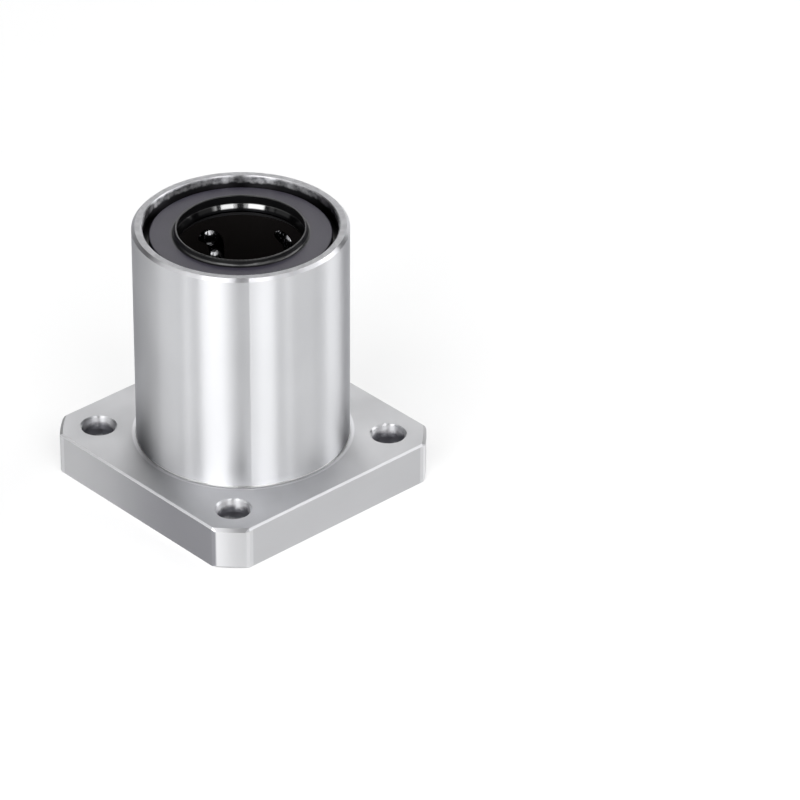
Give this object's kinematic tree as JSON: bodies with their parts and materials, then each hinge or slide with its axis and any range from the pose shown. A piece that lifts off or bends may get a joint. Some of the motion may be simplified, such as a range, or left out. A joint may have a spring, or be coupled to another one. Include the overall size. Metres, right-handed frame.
{
  "type": "square flange linear ball bearing",
  "caption": "Linear ball bearing in a ground steel barrel with a square bolt-on flange and a black seal at each end.",
  "frame": {"origin": "centre of the bore in the flange's outer face, on which the bearing stands", "axes": "+Z along the bore to the barrel's free end, X and Y square to the flange's flat sides"},
  "size_m": [0.037, 0.037, 0.037],
  "materials": {
    "ground_steel": "fine ground, satin bright",
    "milled_steel": "milled and turned, satin",
    "ring_steel": "stamped, plain",
    "ball_steel": "polished balls",
    "seal_rubber": "moulded black rubber, matt face and glossy lip",
    "retainer_resin": "moulded black resin"
  },
  "bodies": {
    "root": {"outer_cylinder": "ground_steel", "square_flange": "milled_steel", "ball_retainer": "retainer_resin", "free_end_seal": "seal_rubber", "flange_end_seal": "seal_rubber", "free_end_side_ring": "ring_steel", "flange_end_side_ring": "ring_steel", "loaded_balls_1": "ball_steel", "return_balls_1": "ball_steel", "turn_balls_1": "ball_steel", "loaded_balls_2": "ball_steel", "return_balls_2": "ball_steel", "turn_balls_2": "ball_steel", "loaded_balls_3": "ball_steel", "return_balls_3": "ball_steel", "turn_balls_3": "ball_steel", "loaded_balls_4": "ball_steel", "return_balls_4": "ball_steel", "turn_balls_4": "ball_steel", "loaded_balls_5": "ball_steel", "return_balls_5": "ball_steel", "turn_balls_5": "ball_steel"}
  },
  "joints": []
}
